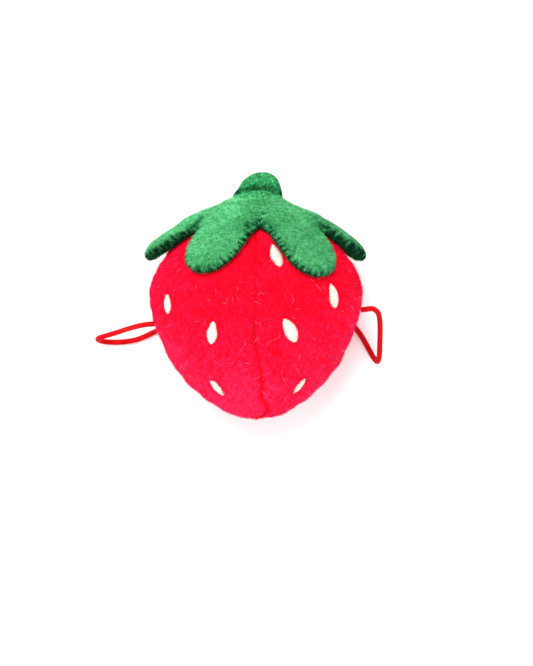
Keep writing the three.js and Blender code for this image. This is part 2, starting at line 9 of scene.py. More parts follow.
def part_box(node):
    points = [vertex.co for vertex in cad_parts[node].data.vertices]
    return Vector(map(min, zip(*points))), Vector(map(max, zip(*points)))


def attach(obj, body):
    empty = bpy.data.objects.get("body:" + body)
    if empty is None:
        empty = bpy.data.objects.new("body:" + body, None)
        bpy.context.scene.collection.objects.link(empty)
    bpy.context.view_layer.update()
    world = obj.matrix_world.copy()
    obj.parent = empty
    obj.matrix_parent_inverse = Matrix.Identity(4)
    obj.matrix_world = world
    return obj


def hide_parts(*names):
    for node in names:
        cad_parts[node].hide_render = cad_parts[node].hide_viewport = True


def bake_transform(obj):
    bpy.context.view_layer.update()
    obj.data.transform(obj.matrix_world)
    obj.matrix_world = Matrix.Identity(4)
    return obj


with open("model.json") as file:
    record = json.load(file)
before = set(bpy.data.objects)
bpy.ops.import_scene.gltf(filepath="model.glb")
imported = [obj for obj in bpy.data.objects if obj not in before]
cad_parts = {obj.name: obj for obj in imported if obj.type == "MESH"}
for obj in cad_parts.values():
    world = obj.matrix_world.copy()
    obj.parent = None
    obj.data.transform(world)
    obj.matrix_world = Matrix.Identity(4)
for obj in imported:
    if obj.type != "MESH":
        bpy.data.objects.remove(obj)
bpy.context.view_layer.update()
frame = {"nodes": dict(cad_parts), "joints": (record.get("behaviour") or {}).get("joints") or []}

scene = bpy.context.scene
MM = 0.001
TAU = 2 * math.pi


def add_object(name, data):
    thing = bpy.data.objects.new(name, data)
    scene.collection.objects.link(thing)
    return thing


def set_inputs(node, values):
    for socket, value in values.items():
        node.inputs[socket].default_value = value


# --- Camera and light ---

CAMERA_AWAY = 1000  # distance of the camera from the middle of what it sees
CAMERA_TILT = math.radians(1)  # it leans this far toward the stem end
VIEW_TALL = 225.1  # height of the view at that distance
VIEW_MIDDLE = (3.55, -12.5, 25)


def make_camera():
    data = bpy.data.cameras.new("camera")
    data.sensor_fit = "AUTO"
    data.sensor_width = 36
    data.lens = 36 * CAMERA_AWAY / VIEW_TALL
    data.clip_start = 0.01
    data.clip_end = 20
    camera = add_object("camera", data)
    back = Vector((0, math.sin(CAMERA_TILT), math.cos(CAMERA_TILT)))
    up = Vector((0, math.cos(CAMERA_TILT), -math.sin(CAMERA_TILT)))
    side = Vector((1, 0, 0))
    place = (Vector(VIEW_MIDDLE) + back * CAMERA_AWAY) * MM
    turn = Matrix((side, up, back)).transposed().to_4x4()
    camera.matrix_world = Matrix.Translation(place) @ turn
    scene.camera = camera


def area_light(name, place, size, watts, color=(1, 1, 1)):
    data = bpy.data.lights.new(name, "AREA")
    data.shape = "DISK"
    data.size = size
    data.energy = watts
    data.color = color
    light = add_object(name, data)
    light.location = place
    aim = Vector((0, 0, 0.02)) - light.location
    light.rotation_mode = "QUATERNION"
    light.rotation_quaternion = aim.to_track_quat("-Z", "Y")


make_camera()
area_light("key", (-0.15, 0.45, 0.85), 0.6, 9.5, (1, 0.985, 0.96))
area_light("fill", (0.4, -0.65, 0.65), 0.8, 4.5, (0.97, 0.98, 1))
area_light("side", (-0.75, -0.2, 0.4), 0.7, 2.5)

world = bpy.data.worlds.new("studio")
world.use_nodes = True
set_inputs(world.node_tree.nodes["Background"], {"Color": (1, 1, 1, 1), "Strength": 0.8})
scene.world = world
scene.view_settings.view_transform = "Standard"


# --- Meshes ---

def make_object(name, verts, faces, material=None, flat=None):
    """A mesh object from points in millimetres. flat marks the faces that stay flat-shaded."""
    mesh = bpy.data.meshes.new(name)
    mesh.from_pydata((verts * MM).tolist(), [], outward_faces(verts, faces))
    shade = np.ones(len(faces), bool)
    if flat is not None:
        shade[flat] = False
    mesh.polygons.foreach_set("use_smooth", shade)
    if material:
        mesh.materials.append(material)
    mesh.update()
    return add_object(name, mesh)


def triangle_object(name, verts, triangles, materials, material_index):
    """The same for very many triangles, straight from arrays."""
    mesh = bpy.data.meshes.new(name)
    count = len(triangles)
    mesh.vertices.add(len(verts))
    mesh.vertices.foreach_set("co", (verts * MM).astype(np.float32).ravel())
    mesh.loops.add(3 * count)
    mesh.loops.foreach_set("vertex_index", triangles.astype(np.int32).ravel())
    mesh.polygons.add(count)
    mesh.polygons.foreach_set("loop_start", np.arange(0, 3 * count, 3, dtype=np.int32))
    for material in materials:
        mesh.materials.append(material)
    mesh.polygons.foreach_set("material_index", material_index.astype(np.int32))
    mesh.polygons.foreach_set("use_smooth", np.ones(count, bool))
    mesh.update(calc_edges=True)
    mesh.validate()
    return add_object(name, mesh)


def grid_quads(rows, cols, wrap=False, ring=False):
    """Faces of a grid of points. wrap joins its last column to its first, ring its last row too."""
    i, j = np.meshgrid(np.arange(rows - (not ring)), np.arange(cols - (not wrap)), indexing="ij")
    n, k = (i + 1) % rows, (j + 1) % cols
    return np.stack([i * cols + j, n * cols + j, n * cols + k, i * cols + k], -1).reshape(-1, 4)


def closed(grid):
    """The grid with its first column again after its last."""
    return np.concatenate([grid, grid[:, :1]], axis=1)


def loft(loops):
    """A closed body skinned over closed loops, with its ends fanned shut."""
    loops = np.asarray(loops)
    rows, cols, _ = loops.shape
    verts = np.vstack([loops.reshape(-1, 3), loops[0].mean(0), loops[-1].mean(0)])
    faces = [list(q) for q in grid_quads(rows, cols, wrap=True)]
    first, last = rows * cols, rows * cols + 1
    start = (rows - 1) * cols
    for j in range(cols):
        k = (j + 1) % cols
        faces.append([first, j, k])
        faces.append([last, start + k, start + j])
    return verts, faces


def plate(top, bottom):
    """A closed body between two facing grids: its points, its faces and which of them are its walls."""
    rows, cols, _ = top.shape
    under = rows * cols
    verts = np.vstack([top.reshape(-1, 3), bottom.reshape(-1, 3)])
    upper = grid_quads(rows, cols)
    lower = upper[:, ::-1] + under
    ring = [i * cols for i in range(rows)]
    ring += [(rows - 1) * cols + j for j in range(1, cols)]
    ring += [i * cols + cols - 1 for i in range(rows - 2, -1, -1)]
    ring += range(cols - 2, 0, -1)
    ring = np.array(ring)
    after = np.roll(ring, -1)
    walls = np.stack([ring, ring + under, after + under, after], -1)
    faces = np.vstack([upper, lower, walls])
    return verts, faces, np.arange(len(faces)) >= len(upper) + len(lower)


def outward_faces(verts, faces):
    """The faces, all turned round if the body is inside out."""
    volume = 0.0
    for face in faces:
        p = verts[list(face)]
        for k in range(1, len(face) - 1):
            volume += float(np.dot(p[0], np.cross(p[k], p[k + 1])))
    order = -1 if volume < 0 else 1
    return [[int(k) for k in face][::order] for face in faces]


def unit(v):
    return v / np.maximum(np.linalg.norm(v, axis=-1, keepdims=True), 1e-9)


def ripples(points, wavelength, seed, waves=14):
    """Smooth bumps of about that wavelength and a height near one."""
    rng = np.random.default_rng(seed)
    ways = unit(rng.normal(size=(waves, 3)))
    lengths = wavelength * rng.uniform(0.7, 1.5, waves)
    starts = rng.uniform(0, TAU, waves)
    total = sum(
        np.sin(TAU * (points @ way) / length + start)
        for way, length, start in zip(ways, lengths, starts)
    )
    return total / math.sqrt(waves / 2) / 1.6


def ramp(x, low, high):
    t = np.clip((x - low) / (high - low), 0, 1)
    return t * t * (3 - 2 * t)


def mix(a, b, t):
    return a + (b - a) * t


def turned(way, aside, angle):
    """The way, turned toward aside by each angle."""
    return np.cos(angle)[:, None] * way + np.sin(angle)[:, None] * aside


def bell(x, width):
    return np.exp(-((x / width) ** 2))


def raise_to(points, least):
    """Brings what is lower than this up to it."""
    points[..., 2] = np.maximum(points[..., 2], least)


def run_along(line):
    """How far along the line each of its points is."""
    return np.concatenate([[0], np.cumsum(np.linalg.norm(np.diff(line, axis=0), axis=1))])


def even_points(line, count):
    """That many points in even steps along the line, and how far along it each is."""
    along = run_along(line)
    even = np.linspace(0, along[-1], count)
    return np.stack([np.interp(even, along, line[:, k]) for k in range(3)], -1), even


def smooth_route(points, spacing):
    """A centripetal Catmull-Rom curve through the points, in even steps."""
    p = np.array(points, float)
    ends = np.vstack([2 * p[0] - p[1], p, 2 * p[-1] - p[-2]])
    t = np.linspace(0, 1, 40, endpoint=False)[:, None]
    fine = []
    for a, b, c, d in zip(ends, ends[1:], ends[2:], ends[3:]):
        ab, bc, cd = (np.linalg.norm(v) ** 0.5 for v in (b - a, c - b, d - c))
        leave = ((b - a) / ab - (c - a) / (ab + bc) + (c - b) / bc) * bc
        arrive = ((c - b) / bc - (d - b) / (bc + cd) + (d - c) / cd) * bc
        fine.append(
            (2 * t**3 - 3 * t**2 + 1) * b + (t**3 - 2 * t**2 + t) * leave
            + (3 * t**2 - 2 * t**3) * c + (t**3 - t**2) * arrive
        )
    fine = np.vstack([*fine, p[-1:]])
    return even_points(fine, int(round(run_along(fine)[-1] / spacing)) + 1)[0]


def tube_loops(line, radius, sides):
    """Rings round a line that do not twist. radius is a number, or rows of one for each corner."""
    along = unit(np.gradient(line, axis=0))
    out = np.cross(along[0], [0, 0, 1])
    if np.linalg.norm(out) < 0.1:
        out = np.cross(along[0], [0, 1, 0])
    radius = np.broadcast_to(radius, (len(line), sides))
    angle = TAU * np.arange(sides) / sides
    loops = []
    for place, way, size in zip(line, along, radius):
        out = unit(out - way * np.dot(out, way))
        aside = np.cross(way, out)
        loops.append(place + size[:, None] * turned(out, aside, angle))
    return np.array(loops)


# --- Materials ---

def principled(name, rough=0.85, sheen=0.0, sheen_tint=(1, 1, 1), specular=0.25):
    material = bpy.data.materials.new(name)
    material.use_nodes = True
    shader = material.node_tree.nodes["Principled BSDF"]
    set_inputs(shader, {
        "Roughness": rough, "Specular IOR Level": specular, "Sheen Weight": sheen,
        "Sheen Roughness": 0.45, "Sheen Tint": (*sheen_tint, 1),
    })
    return material, shader


def plain(name, color, **looks):
    """One even colour, for fibres of many shades side by side."""
    material, shader = principled(name, **looks)
    shader.inputs["Base Color"].default_value = (*color, 1)
    return material


GRAIN_FINER = 6.0  # the grain is this many times finer than the patches
GRAIN_SHARE = 0.55  # of the colour's change


def mottled(name, dark, middle, light, scale, bump=0.4, stretch=(1, 1, 1), **looks):
    """Three colours in soft patches, with finer grain and a bump that follows it."""
    material, shader = principled(name, **looks)
    tree = material.node_tree
    link = tree.links.new

    def node(kind, **values):
        made = tree.nodes.new("ShaderNode" + kind)
        set_inputs(made, values)
        return made

    mapping = node("Mapping", Scale=stretch)
    link(node("TexCoord").outputs["Object"], mapping.inputs["Vector"])
    patches = node("TexNoise", Scale=scale, Detail=3)
    link(mapping.outputs["Vector"], patches.inputs["Vector"])
    grain = node("TexNoise", Scale=scale * GRAIN_FINER, Detail=4)
    link(mapping.outputs["Vector"], grain.inputs["Vector"])
    both, rest = node("Math"), node("Math")
    both.operation, rest.operation = "MULTIPLY_ADD", "MULTIPLY"
    set_inputs(both, {1: GRAIN_SHARE})
    set_inputs(rest, {1: 1 - GRAIN_SHARE})
    link(grain.outputs["Fac"], both.inputs[0])
    link(patches.outputs["Fac"], rest.inputs[0])
    link(rest.outputs[0], both.inputs[2])
    colors = node("ValToRGB")
    first, last = colors.color_ramp.elements
    first.position, first.color = 0.36, (*dark, 1)
    last.position, last.color = 0.64, (*light, 1)
    colors.color_ramp.elements.new(0.5).color = (*middle, 1)
    link(both.outputs[0], colors.inputs["Fac"])
    link(colors.outputs["Color"], shader.inputs["Base Color"])
    relief = node("Bump", Strength=bump, Distance=0.0003)
    link(grain.outputs["Fac"], relief.inputs["Height"])
    link(relief.outputs["Normal"], shader.inputs["Normal"])
    return material


PINK_SHEEN = (1.0, 0.12, 0.25)
MINT_SHEEN = (0.55, 1.0, 0.72)

red_cloth = mottled(
    "red_cloth", (0.78, 0.001, 0.012), (0.88, 0.002, 0.022), (0.94, 0.006, 0.045), 160,
    sheen=0.05, sheen_tint=PINK_SHEEN, specular=0.05,
)
green_cloth = mottled(
    "green_cloth", (0.012, 0.17, 0.05), (0.035, 0.31, 0.10), (0.07, 0.42, 0.15), 200,
    sheen=0.1, sheen_tint=MINT_SHEEN, specular=0.1,
)
# The under layer's cloth: the green plush darkened with painted shade, as it faces down, away from the
# light.
green_under_cloth_painted_shade = mottled(
    "green_under_cloth_painted_shade", (0.004, 0.06, 0.02), (0.010, 0.12, 0.04),
    (0.025, 0.20, 0.07), 200, specular=0.1,
)

RED_SHADES = [
    plain(f"red_pile_{word}", color, sheen=sheen, sheen_tint=PINK_SHEEN, specular=0.03)
    for word, color, sheen in [
        ("deep", (0.90, 0.001, 0.012), 0.03),
        ("warm", (0.94, 0.002, 0.020), 0.03),
        ("clear", (0.96, 0.005, 0.050), 0.04),
        ("rose", (0.97, 0.014, 0.120), 0.05),
        ("pink", (0.97, 0.050, 0.220), 0.06),
    ]
]
red_stray = plain("red_pile_stray", (1.0, 0.22, 0.36), rough=0.6, specular=0.2)
# Near-black painted shade for the darkest gaps at edges and corners.
green_painted_shade = plain("green_pile_painted_shade", (0.001, 0.024, 0.008), specular=0.05)
GREEN_SHADES = [green_painted_shade, plain("green_pile_shadow", (0.004, 0.09, 0.028), specular=0.08)] + [
    plain(f"green_pile_{word}", color, sheen=sheen, sheen_tint=MINT_SHEEN, specular=0.1)
    for word, color, sheen in [
        ("deep", (0.018, 0.25, 0.08), 0.05),
        ("middle", (0.06, 0.47, 0.16), 0.1),
        ("clear", (0.11, 0.62, 0.23), 0.12),
        ("pale", (0.24, 0.80, 0.40), 0.15),
    ]
]
# The under layer's pile shades: painted shade, darker than the upper layer's.
GREEN_UNDER_PAINTED_SHADES = [green_painted_shade] + [
    plain(f"green_under_painted_shade_pile_{word}", color, specular=0.1)
    for word, color in [
        ("deep", (0.003, 0.05, 0.016)),
        ("middle", (0.008, 0.12, 0.036)),
        ("clear", (0.025, 0.26, 0.08)),
    ]
]
satin_thread = mottled(
    "satin_thread", (0.50, 0.42, 0.36), (0.70, 0.62, 0.55), (0.84, 0.77, 0.70), 1100,
    rough=0.4, stretch=(0.25, 1, 1), sheen=0.05, specular=0.3,
)
red_thread = mottled(
    "red_thread", (0.30, 0.001, 0.004), (0.45, 0.002, 0.010), (0.60, 0.004, 0.02), 900,
    rough=0.6, specular=0.15,
)
green_thread = mottled(
    "green_thread_cotton", (0.01, 0.09, 0.03), (0.02, 0.16, 0.05),
    (0.05, 0.25, 0.09), 900, rough=0.6,
)
strap_yarn = mottled(
    "strap_yarn", (0.30, 0.0005, 0.002), (0.50, 0.001, 0.004), (0.66, 0.003, 0.008), 700,
    rough=0.55, specular=0.06,
)
stuffing_fibre = mottled(
    "stuffing_fibre", (0.70, 0.69, 0.66), (0.82, 0.81, 0.78), (0.92, 0.91, 0.89), 90,
    rough=0.95, bump=0.8, stretch=(1, 0.4, 1),
)
milky_plastic = mottled(
    "milky_plastic", (0.70, 0.68, 0.62), (0.76, 0.74, 0.68), (0.80, 0.78, 0.73), 40,
    rough=0.35, bump=0.05, specular=0.5,
)

CAD_FINISH = {
    "stuffing_core": stuffing_fibre,
    "stem_stuffing": stuffing_fibre,
    "guard_disc": milky_plastic,
    "calyx_tie_thread": green_thread,
    "stem_stitching": green_thread,
    "elastic_end_left": strap_yarn,
    "elastic_end_right": strap_yarn,
}


# --- How pieces are placed ---

def fold_blend(piece, leaf):
    """Looks up the leaf's fold and which way the leaf lies from it, and bakes the piece's placement into
    its mesh; the piece is not bent here.
    """
    joint = next(j for j in frame["joints"] if j["name"] == f"leaf_{leaf}_fold")
    place = Vector(joint["pos_m"])
    low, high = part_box(f"leaf_{leaf}_upper")
    toward = (low + high) / 2 - place
    axis = Vector(joint["axis"]).normalized()
    toward = (toward - axis * toward.dot(axis)).normalized()
    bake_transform(piece)


def declare(piece, slot, node=None, leaf=None):
    """Rides the piece on the berry, or for a leaf bakes its placement into its mesh. node is the CAD node
    that it replaces, which is hidden.
    """
    if leaf:
        fold_blend(piece, leaf)
    else:
        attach(piece, "berry")
    if node:
        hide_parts(node)


# --- Elastic strap ---

STRAP_SIDES = 16
STRAP_STEP = 0.22
BRAID_TURN = 1.5  # length of one turn of the yarn
BRAID_RELIEF = 0.06
STRAP_DIAMETER = 1.9
STRAP_ROUTE = [
    (-34.3, -9.4, 23), (-36.8, -9.6, 22.7), (-39.5, -10.1, 21), (-42.2, -10.8, 17.6),
    (-44.8, -11.6, 13.8), (-47.5, -12.5, 10.8), (-50.5, -13.4, 9.3), (-53.2, -14.2, 8.2),
    (-54.6, -15, 5.3), (-53.4, -15.7, 2.3), (-50.6, -16.1, 1), (-46, -16, 1),
    (-41.7, -15.3, 1), (-38, -13.9, 1), (-34.4, -12.2, 1), (-30.4, -11.3, 1),
    (-26.8, -12, 1), (-23.8, -14.4, 1), (-20.4, -18.8, 1), (-15.5, -23, 1),
    (0, -27.2, 1), (15.5, -23, 1), (20.2, -18.2, 1), (23.6, -13.2, 1),
    (26.6, -10, 1), (30.2, -8.9, 1), (33.6, -10.6, 1), (36.4, -14, 1),
    (38.8, -18.2, 1.2), (40.8, -21.7, 2.6), (41.9, -22.6, 5.6), (42.3, -20.6, 8.4),
    (42.4, -17.2, 10.4), (42.4, -13.8, 12.9), (42.3, -10.6, 15.9), (42, -7.7, 18.8),
    (41.2, -5.4, 21.2), (39.4, -4.3, 22.6), (37.3, -4.5, 23), (35.4, -4.7, 23),
]


def make_strap():
    """A round elastic with fine yarn braided over it."""
    line = smooth_route(STRAP_ROUTE, STRAP_STEP)
    run = STRAP_STEP * np.arange(len(line))[:, None]
    angle = TAU * np.arange(STRAP_SIDES)[None, :] / STRAP_SIDES
    one_way = np.sin(TAU * run / BRAID_TURN + 3 * angle)
    other_way = np.sin(TAU * run / BRAID_TURN - 3 * angle)
    radius = STRAP_DIAMETER / 2 * (0.945 + BRAID_RELIEF * np.maximum(one_way, other_way))
    verts, faces = loft(tube_loops(line, radius, STRAP_SIDES))
    strap = make_object("wrist_strap", verts, faces, strap_yarn)
    declare(strap, "elastic", "wrist_elastic")
    [c * MM for c in STRAP_ROUTE[0]]


make_strap()


# --- The berry's surface ---

AXIS_HEIGHT = 23  # of the berry's axis over the table
DEPTH_RATIO = 0.76  # thickness of the berry over its width
GORE_BULGE = 0.025
SEAM_DEPTH = 0.9
SEAM_SPREAD = 4.5
SEAM_FADE = 8  # the seams get shallower where the berry's radius is below this
LAYER_START = 0.45  # the calyx stands this far over the berry
LEAF_LAYER = 1.6  # thickness of one of its two layers
LAYER_GAP = 0.3
LAST_LAYER = LAYER_START + 2 * LEAF_LAYER + LAYER_GAP
SETTLE_BLEND = 1.5  # how softly the flat back turns into the sides, below and at the shoulder
SHOULDER_BLEND = 4.5

# Radius and height of points of the berry's outline, from the stem end to the tip.
OUTLINE = np.array([
    (0, 27.8), (9, 27), (17, 24.4), (23.7, 20.3), (29.6, 15), (33.6, 9), (35.7, 2.5),
    (35.3, -5), (33.1, -13), (29.3, -21), (24, -28.5), (17, -35.2), (8.5, -40.2), (0, -41.9),
])


def outline_at(u):
    """Radius and height at u, from the stem end (0) to the tip (1)."""
    last = len(OUTLINE) - 1
    place = np.clip(u, 0, 1) * last
    i = np.minimum(np.floor(place).astype(int), last - 1)
    t = (place - i)[..., None]
    p0, p1, p2, p3 = (OUTLINE[np.clip(i + k, 0, last)] for k in (-1, 0, 1, 2))
    v0, v1 = (p2 - p0) / 2, (p3 - p1) / 2
    point = (2 * p1 - 2 * p2 + v0 + v1) * t**3 + (-3 * p1 + 3 * p2 - 2 * v0 - v1) * t**2 + v0 * t + p1
    return point[..., 0], point[..., 1]


def surface(u, azimuth):
    """Points of the smooth berry, which is settled flat on its back."""
    radius, y = outline_at(u)
    radius = np.maximum(radius, 1e-3) * (1 + GORE_BULGE * np.sin(2 * azimuth) ** 2)
    x = radius * np.sin(azimuth)
    z = AXIS_HEIGHT + DEPTH_RATIO * radius * np.cos(azimuth)
    floor = (LAST_LAYER + 0.15) * ramp(y, 2, 8)
    blend = mix(SETTLE_BLEND, SHOULDER_BLEND, ramp(y, 0, 10))
    h = np.clip(0.5 + 0.5 * (z - floor) / blend, 0, 1)
    return np.stack([x, y, mix(floor, z, h) + blend * h * (1 - h)], -1)


def outward(u, azimuth):
    step = 0.004
    here = np.clip(u, step, 1 - step)
    down = surface(here + step, azimuth) - surface(here - step, azimuth)
    around = surface(here, azimuth + step) - surface(here, azimuth - step)
    return unit(np.cross(down, around))


def over(u, azimuth, height):
    """Points this high over the smooth berry."""
    u, azimuth, height = np.broadcast_arrays(u, azimuth, height)
    return surface(u, azimuth) + outward(u, azimuth) * height[..., None]


U_TABLE = np.linspace(0, 1, 4001)
RADIUS_TABLE, Y_TABLE = outline_at(U_TABLE)
WAIST = int(RADIUS_TABLE.argmax())


def u_at_radius(radius):
    return np.interp(radius, RADIUS_TABLE[:WAIST], U_TABLE[:WAIST])


def u_at_height(y):
    return np.interp(-np.asarray(y, float), -Y_TABLE, U_TABLE)


# --- Embroidered seeds' places ---

SEED_LENGTH = 8.2
SEED_WIDTH = 3.9
SEED_POINT = 0.25
# Height, turn from the front in degrees, lean in degrees and size of each gore's seeds.
SEEDS = {
    "right": [(13.6, 12.8, -8, 1.05), (0.3, 45, -14, 1), (-11.3, 19.7, -32, 1.08), (-30.1, 38.9, 10, 0.72)],
    "left": [(15.5, 29, -8, 1), (-2.6, 54.6, -4, 0.74), (-12.1, 25.4, -16, 0.95), (-30.8, 35.5, 14, 0.74)],
}


class Seed:
    """One seed's place, and how far along, across and above it a point of the berry is."""

    def __init__(self, gore, number, y, turn, lean, size=1):
        side = 1 if gore.endswith("right") else -1
        self.node = f"seed_{gore}_{number}"
        self.half_length = SEED_LENGTH / 2 * size
        self.half_across = SEED_WIDTH / 2 * size
        self.u = float(u_at_height(y))
        front = gore.startswith("front")
        self.azimuth = side * math.radians(turn) if front else math.pi - side * math.radians(turn)
        self.lean = (1 if gore in ("front_right", "back_left") else -1) * math.radians(lean)
        self.rise = 0.0
        u, azimuth, small = np.array(self.u), np.array(self.azimuth), 0.01
        self.middle = surface(u, azimuth)
        self.speed = small / np.linalg.norm(surface(u + small, azimuth) - self.middle)
        self.twist = small / np.linalg.norm(surface(u, azimuth + small) - self.middle)
        self.normal = outward(u, azimuth)
        self.along = unit(self.point(1, 0, 0) - self.point(-1, 0, 0))
        self.across = unit(self.point(0, 1, 0) - self.point(0, -1, 0))

    def point(self, along, across, height):
        down = along * math.cos(self.lean) + across * math.sin(self.lean)
        aside = across * math.cos(self.lean) - along * math.sin(self.lean)
        return over(self.u + down * self.speed, self.azimuth + aside * self.twist, height + self.rise)

    def half_width(self, s):
        taper = np.where(s < 0, 1 + SEED_POINT * s, 1)
        return self.half_across * np.sqrt(np.maximum(1 - s * s, 0)) * taper

    def nearness(self, points):
        """Zero at the middle of the seed and one at its edge."""
        away = points - self.middle
        s = (away @ self.along) / self.half_length
        t = (away @ self.across) / self.half_across
        far = np.abs(away @ self.normal) > 4  # on the other side of the berry
        return np.sqrt(s * s + t * t) + 10 * far


GORES = {"front_right": 0, "back_right": 90, "back_left": 180, "front_left": 270}
seeds = [
    Seed(gore, k + 1, *facts)
    for gore in GORES
    for k, facts in enumerate(SEEDS[gore.split("_")[1]])
]


# --- Red plush gores ---

def seam_distance(azimuth, radius):
    """How far the nearest of the four seams is, round the berry."""
    quarters = azimuth / (math.pi / 2)
    return radius * (np.abs(quarters - np.round(quarters)) * (math.pi / 2))


def drifted(u, azimuth):
    """The front seam was sewn slightly aslant: it drifts to the right toward the tip."""
    _, y = outline_at(np.asarray(u, float))
    drift = 0.12 * ramp(-y, 14, 38) + 0.36 * ramp(-y, 34, 41.5)
    drift -= 0.02 * ramp(-y, 4, 9) * ramp(y, -20, -14)
    return azimuth + drift * np.maximum(0, np.cos(azimuth)) ** 1.5


VALLEY_WIDTH = 2.3  # of the softer front seam near the tip
CREASE_DEPTH = 0.14
CREASE_WIDTH = 0.7
PUCKER_HEIGHT = 0.26
LUMP_HEIGHT = 0.3
SEED_DIMPLE = 0.4  # how far the stitching pulls the plush in round a seed


def plush_height(u, azimuth):
    """How far the plush stands over the smooth berry: pulled in seams, puckers, lumps and dimples."""
    radius, y = outline_at(u)
    points = surface(u, azimuth)
    away = seam_distance(azimuth, radius)
    front = ramp(np.cos(azimuth), 0.3, 0.9)
    upper_front = front * ramp(y, -26, -6)
    lower_front = front * ramp(-y, 12, 24)
    uneven = 0.85 + 0.45 * ripples(np.stack([y, azimuth * 0.2, azimuth * 0], -1), 9, 4)
    tight = (mix(1.0, 0.45, upper_front) + 0.9 * lower_front) * uneven
    valley = 0.8 * bell(away, VALLEY_WIDTH)
    rise = mix(np.maximum(0, 1 - away / SEAM_SPREAD) ** 2, valley, lower_front)
    height = -SEAM_DEPTH * tight * np.minimum(1, radius / SEAM_FADE) * rise
    crease = CREASE_DEPTH * bell(away, CREASE_WIDTH) * np.minimum(1, radius / 3) * tight
    height -= crease * (1 - 0.85 * lower_front)
    pucker = ripples(np.stack([y, azimuth * 0.6, azimuth * 0], -1), 4.6, 5)
    near = np.exp(-away / 3.2) * (1 - np.exp(-away / 0.8)) * np.minimum(1, radius / 9)
    height += PUCKER_HEIGHT * pucker * near
    free = ramp(points[..., 2], 1.0, 5.0)
    height += free * (LUMP_HEIGHT * ripples(points, 19, 11) + 0.06 * ripples(points, 6.5, 12))
    for seed in seeds:
        close = seed.nearness(points)
        height -= SEED_DIMPLE * bell(close - 1.0, 0.3) * (close < 3) * free
    return height


# The gores reach from the tie thread's hole to a small ring at the tip.
U_TOP = float(u_at_radius(1.4))
TO_TIP = len(U_TABLE) - WAIST
U_TIP = float(np.interp(0.25, RADIUS_TABLE[::-1][:TO_TIP], U_TABLE[::-1][:TO_TIP]))


# --- The stuffed cloth ---

SIM_ROWS = 61
SIM_COLS = 96
SIM_SCALE = 10  # the cloth is worked out at ten times its size, where the solver is steady
SIM_FRAMES = 20
CLOTH = {
    "quality": 6, "mass": 0.3, "tension_stiffness": 25, "compression_stiffness": 25,
    "shear_stiffness": 8, "bending_stiffness": 0.3, "air_damping": 3, "use_pressure": True,
    "uniform_pressure_force": 4, "vertex_group_mass": "held", "shrink_min": -0.035,
}
SIM_CAP = 1.1  # a point moves at most this far
SIM_SWELL = 0.82  # how far the middle of a gore swells
SIM_REACH = 3.5  # the swell grows over this distance from a seam
SIM_SHARE = 0.45  # the pile hides the rest of the puckers


def stuffed_rise():
    """How far stuffing pressed against the sewn cloth lifts and puckers it over its even swell."""
    u = np.linspace(U_TOP, U_TIP, SIM_ROWS)[:, None]
    azimuth = (TAU * np.arange(SIM_COLS) / SIM_COLS)[None, :]
    rows, turns = np.broadcast_arrays(u, azimuth)
    start = over(rows, drifted(rows, turns), plush_height(rows, turns))
    raise_to(start, 0)
    flat = start.reshape(-1, 3)
    verts, faces = loft(start)
    cloth_form = make_object("cloth_form", verts * SIM_SCALE, faces)
    held = cloth_form.vertex_groups.new(name="held")
    seam = np.zeros((SIM_ROWS, SIM_COLS), bool)
    seam[:, :: SIM_COLS // 4] = True
    seam[:2], seam[-2:] = True, True
    seam |= start[..., 2] < 0.4
    still = [int(k) for k in np.flatnonzero(seam.ravel())]
    held.add(still + [len(flat), len(flat) + 1], 1.0, "REPLACE")
    cloth = cloth_form.modifiers.new("stuffing", "CLOTH")
    settings = cloth.settings
    for setting, value in CLOTH.items():
        setattr(settings, setting, value)
    settings.effector_weights.gravity = 0
    cloth.collision_settings.use_collision = False
    for step in range(1, SIM_FRAMES + 1):
        scene.frame_set(step)
    shaped = cloth_form.evaluated_get(bpy.context.evaluated_depsgraph_get())
    found = np.empty(len(verts) * 3)
    shaped.data.vertices.foreach_get("co", found)
    scene.frame_set(1)
    bpy.data.objects.remove(cloth_form)
    moved = (found.reshape(-1, 3)[: len(flat)] / (MM * SIM_SCALE) - flat).reshape(start.shape)
    rise = (moved * outward(rows, turns)).sum(-1)
    away = seam_distance(turns, outline_at(rows)[0])
    even = SIM_SWELL * (1 - np.exp(-away / SIM_REACH)) * (~seam)
    return SIM_SHARE * (SIM_CAP * np.tanh(rise / SIM_CAP) - even)


STUFFED_RISE = stuffed_rise()


def stuffed(u, azimuth):
    """The rise at points of the berry, read between the points it was worked out at."""
    i = np.clip((u - U_TOP) / (U_TIP - U_TOP), 0, 1) * (SIM_ROWS - 1)
    j = (azimuth / TAU % 1) * SIM_COLS
    low_i = np.minimum(np.floor(i).astype(int), SIM_ROWS - 2)
    low_j = np.floor(j).astype(int) % SIM_COLS
    next_j = (low_j + 1) % SIM_COLS
    across = j - np.floor(j)
    near = mix(STUFFED_RISE[low_i, low_j], STUFFED_RISE[low_i, next_j], across)
    far = mix(STUFFED_RISE[low_i + 1, low_j], STUFFED_RISE[low_i + 1, next_j], across)
    return mix(near, far, i - low_i)


GORE_ROWS = 150
GORE_COLS = 58
GORE_GAP = 0.03  # from a gore's sewn edge to the middle of the seam
TURN_IN = 0.8
GORE_THICK = 1.3


